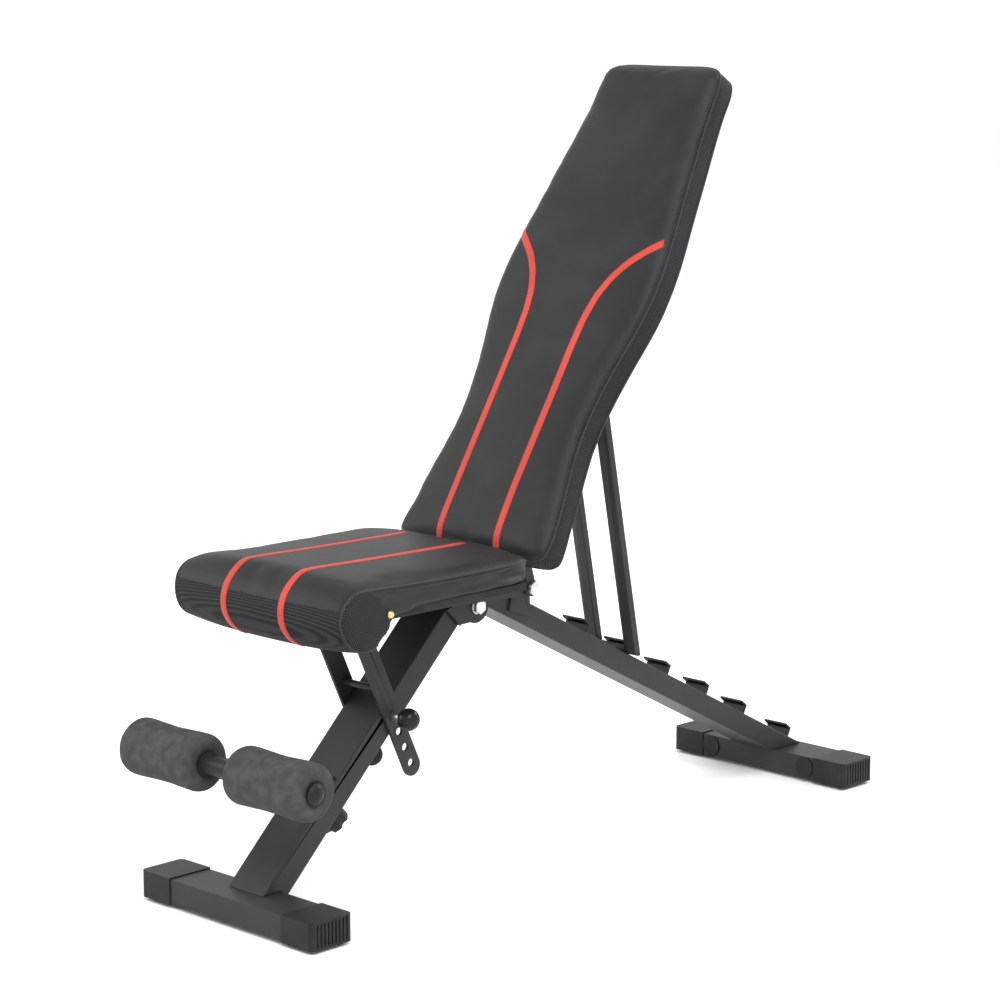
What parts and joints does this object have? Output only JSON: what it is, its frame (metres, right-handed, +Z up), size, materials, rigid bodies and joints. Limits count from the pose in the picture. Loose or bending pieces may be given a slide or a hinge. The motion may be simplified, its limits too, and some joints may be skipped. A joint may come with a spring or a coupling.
{
  "type": "adjustable weight bench",
  "caption": "Folding weight bench with a tilting padded seat, a backrest that reclines on a hooked ladder leg, and a front foam roller bar that holds the feet.",
  "frame": {"origin": "on the floor, under the middle of the bench's length and width", "axes": "+X across the bench towards the side with the locking pin's ball knob, +Y from the foot rollers towards the ladder's foot, +Z up"},
  "size_m": [0.311, 1.005, 0.9274],
  "materials": {
    "frame_paint": "satin powder coat, fine texture",
    "black_steel": "black powder coat",
    "cap_plastic": "moulded, matte",
    "pad_rubber": "matte",
    "foam": "matte closed-cell foam skin",
    "knob_plastic": "glossy",
    "zinc": "bright zinc plate",
    "brass": "polished dome",
    "cover": "semi-matte synthetic leather, fine grain",
    "board": "black painted plywood"
  },
  "bodies": {
    "rear_frame": {"rear_foot_tube": "frame_paint", "rear_foot_cap_left": "cap_plastic", "rear_foot_cap_right": "cap_plastic", "rear_foot_pads": "pad_rubber", "rear_foot_plugs": "cap_plastic", "rear_leg": "frame_paint", "hook_1": "black_steel", "hook_2": "black_steel", "hook_3": "black_steel", "hook_4": "black_steel", "hook_5": "black_steel", "hook_6": "black_steel", "hinge_lug": "frame_paint", "pivot_ears": "frame_paint", "hinge_bolt": "zinc", "hinge_nut": "zinc"},
    "front_frame": {"front_foot_tube": "frame_paint", "front_foot_cap_left": "cap_plastic", "front_foot_cap_right": "cap_plastic", "front_foot_pads": "pad_rubber", "front_leg": "frame_paint", "hinge_bracket": "frame_paint", "fold_bumper": "pad_rubber", "roller_post": "frame_paint", "post_base": "frame_paint", "roller_bar": "black_steel", "bar_cap_left": "cap_plastic", "bar_cap_right": "cap_plastic"},
    "roller_left": {"foam_roller_left": "foam"},
    "roller_right": {"foam_roller_right": "foam"},
    "post_knob": {"clamp_screw": "zinc", "clamp_knob": "cap_plastic"},
    "seat": {"seat_pad": "cover", "seat_board": "board", "seat_plate_left": "frame_paint", "seat_plate_right": "frame_paint", "seat_cross_tubes": "frame_paint", "seat_side_screws": "brass", "seat_board_screws": "zinc", "strip_rod": "zinc", "strip_spacers": "zinc"},
    "seat_strips": {"strip_left": "frame_paint", "strip_right": "frame_paint", "strip_cross_rod": "frame_paint"},
    "lock_pin": {"lock_pin": "zinc", "ball_knob": "knob_plastic"},
    "pivot_axle": {"pivot_axle": "zinc", "axle_nut": "zinc"},
    "backrest": {"backrest_pad": "cover", "backrest_board": "board", "backrest_rail_left": "frame_paint", "backrest_rail_right": "frame_paint", "backrest_pivot_plates": "frame_paint", "backrest_straps": "frame_paint", "backrest_screws": "zinc"},
    "support_rod": {"support_rod": "zinc"},
    "support": {"support_tube_left": "frame_paint", "support_tube_right": "frame_paint", "support_bar": "frame_paint"}
  },
  "joints": [
    {"name": "leg_fold", "type": "hinge", "parent": "rear_frame", "child": "front_frame", "pos_m": [0, -0.11246, 0.3115], "axis": [1, 0, 0], "range_deg": [0, 80]},
    {"name": "roller_left_spin", "type": "hinge", "parent": "front_frame", "child": "roller_left", "pos_m": [0, -0.4695, 0.1795], "axis": [1, 0, 0], "continuous": true},
    {"name": "roller_right_spin", "type": "hinge", "parent": "front_frame", "child": "roller_right", "pos_m": [0, -0.4695, 0.1795], "axis": [1, 0, 0], "continuous": true},
    {"name": "post_knob_turn", "type": "hinge", "parent": "front_frame", "child": "post_knob", "pos_m": [0, -0.33675, 0.11689], "axis": [0, -0.7038, 0.7104], "continuous": true},
    {"name": "seat_tilt", "type": "hinge", "parent": "rear_frame", "child": "seat", "pos_m": [0, -0.03746, 0.3245], "axis": [-1, 0, 0], "range_deg": [0, 15.96]},
    {"name": "strip_swing", "type": "hinge", "parent": "seat", "child": "seat_strips", "pos_m": [0, -0.30676, 0.3325], "axis": [-1, 0, 0], "range_deg": [-4.2, 0]},
    {"name": "lock_pin_pull", "type": "slide", "parent": "seat_strips", "child": "lock_pin", "axis": [1, 0, 0], "range_m": [0, 0.05]},
    {"name": "backrest_raise", "type": "hinge", "parent": "rear_frame", "child": "pivot_axle", "pos_m": [0, -0.03746, 0.3245], "axis": [1, 0, 0], "range_deg": [0, 22]},
    {"name": "backrest_recline", "type": "hinge", "parent": "pivot_axle", "child": "backrest", "pos_m": [0, -0.03746, 0.3245], "axis": [1, 0, 0], "range_deg": [-59.97, 0]},
    {"name": "support_swing_up", "type": "hinge", "parent": "backrest", "child": "support_rod", "pos_m": [0, 0.0907, 0.57781], "axis": [1, 0, 0], "range_deg": [-13.8, 0]},
    {"name": "support_swing_down", "type": "hinge", "parent": "support_rod", "child": "support", "pos_m": [0, 0.0907, 0.57781], "axis": [1, 0, 0], "range_deg": [0, 87.8]}
  ],
  "couplings": [
    {"joint": "strip_swing", "follows": "seat_tilt", "ratio": -0.2564},
    {"joint": "support_swing_up", "follows": "backrest_raise", "ratio": -0.62},
    {"joint": "support_swing_down", "follows": "backrest_recline", "ratio": -1.4608}
  ]
}
